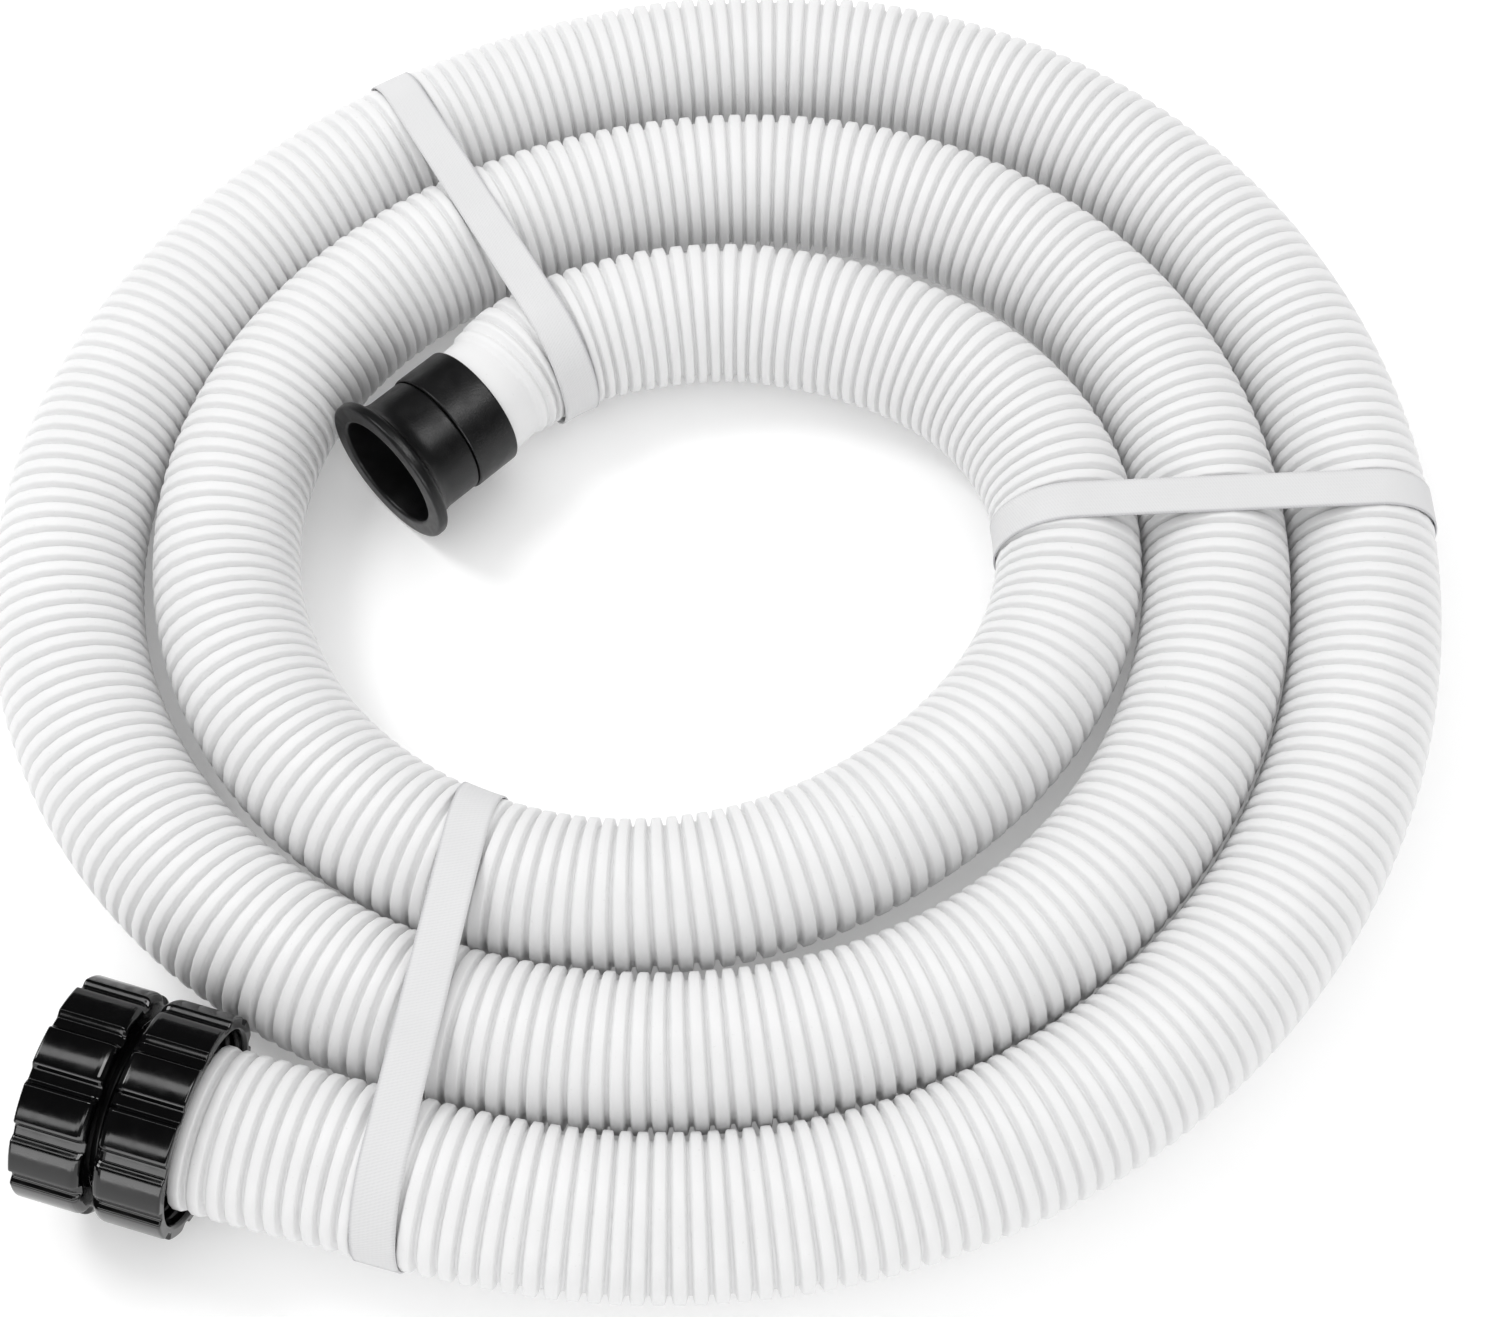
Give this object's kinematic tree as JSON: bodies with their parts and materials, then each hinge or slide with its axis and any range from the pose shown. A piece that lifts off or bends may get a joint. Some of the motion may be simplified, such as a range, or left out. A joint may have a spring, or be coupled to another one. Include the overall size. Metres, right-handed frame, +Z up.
{
  "type": "vacuum hose",
  "caption": "Corrugated pool vacuum hose, coiled flat under webbing straps, with a flanged swivel cuff on each end and union nuts on the outer end.",
  "frame": {"origin": "on the floor, under the middle of the coil's outline", "axes": "+Z up; +X to the right and +Y to the back, seen with the union nuts at the front left"},
  "size_m": [0.4469, 0.4514, 0.0638],
  "materials": {
    "hose_white": "satin white blow-moulded plastic",
    "cuff_black": "soft satin black moulded plastic",
    "nut_black": "gloss black moulded plastic",
    "strap_white": "fine woven white strapping"
  },
  "bodies": {
    "coil": {"hose": "hose_white", "inner_collar": "cuff_black", "outer_collar": "cuff_black", "back_strap": "strap_white", "right_strap": "strap_white", "front_strap": "strap_white"},
    "inner_cuff": {"inner_flanged_barrel": "cuff_black"},
    "outer_cuff": {"outer_flanged_barrel": "cuff_black"},
    "nuts": {"spare_nut": "nut_black"},
    "front_nut": {"outer_nut": "nut_black"}
  },
  "joints": [
    {"name": "inner_cuff_swivel", "type": "hinge", "parent": "coil", "child": "inner_cuff", "pos_m": [-0.1049, 0.0301, 0.0262], "axis": [-0.7005, -0.7128, 0.0349], "continuous": true},
    {"name": "outer_cuff_swivel", "type": "hinge", "parent": "coil", "child": "outer_cuff", "pos_m": [-0.1775, -0.1691, 0.0334], "axis": [-0.9614, 0.2666, 0.068], "continuous": true},
    {"name": "nuts_slide", "type": "slide", "parent": "coil", "child": "nuts", "axis": [-0.9614, 0.2666, 0.068], "range_m": [0, 0.0122]},
    {"name": "outer_nut_spin", "type": "hinge", "parent": "nuts", "child": "front_nut", "pos_m": [-0.1775, -0.1691, 0.0334], "axis": [-0.9614, 0.2666, 0.068], "continuous": true}
  ]
}
